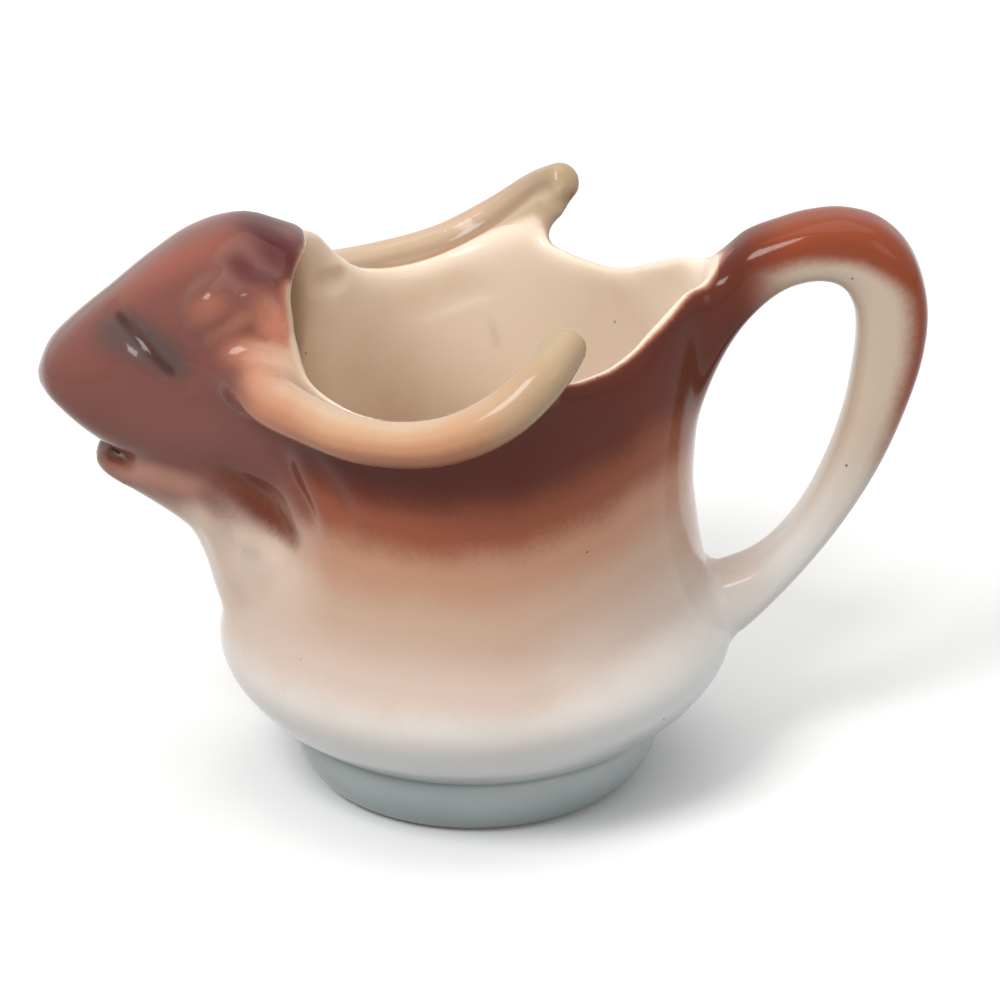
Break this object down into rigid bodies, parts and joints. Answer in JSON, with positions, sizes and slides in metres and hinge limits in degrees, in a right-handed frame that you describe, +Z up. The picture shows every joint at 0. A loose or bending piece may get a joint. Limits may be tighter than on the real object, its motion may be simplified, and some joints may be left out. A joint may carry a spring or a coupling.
{
  "type": "figural creamer jug",
  "caption": "Small glazed porcelain milk jug shaped as an ox: round bowl on a foot ring, hollow head that pours through its mouth, horns along the rim and a loop handle.",
  "frame": {"origin": "on the table under the middle of the overall length and width", "axes": "+Z up, -X the way the ox looks and pours, +X towards the handle"},
  "size_m": [0.1486, 0.0946, 0.1011],
  "materials": {
    "bowl_glaze": "glossy clear glaze over airbrushed brown fading to cream and white",
    "foot_glaze": "glossy clear glaze over pale blue-grey",
    "head_glaze": "glossy clear glaze over airbrushed red-brown",
    "horn_glaze": "glossy clear glaze over cream",
    "handle_glaze": "glossy clear glaze, red-brown outside and cream inside"
  },
  "bodies": {
    "root": {"vessel_body": "bowl_glaze", "foot_ring": "foot_glaze", "head_spout": "head_glaze", "left_horn": "horn_glaze", "right_horn": "horn_glaze", "handle": "handle_glaze"}
  },
  "joints": []
}
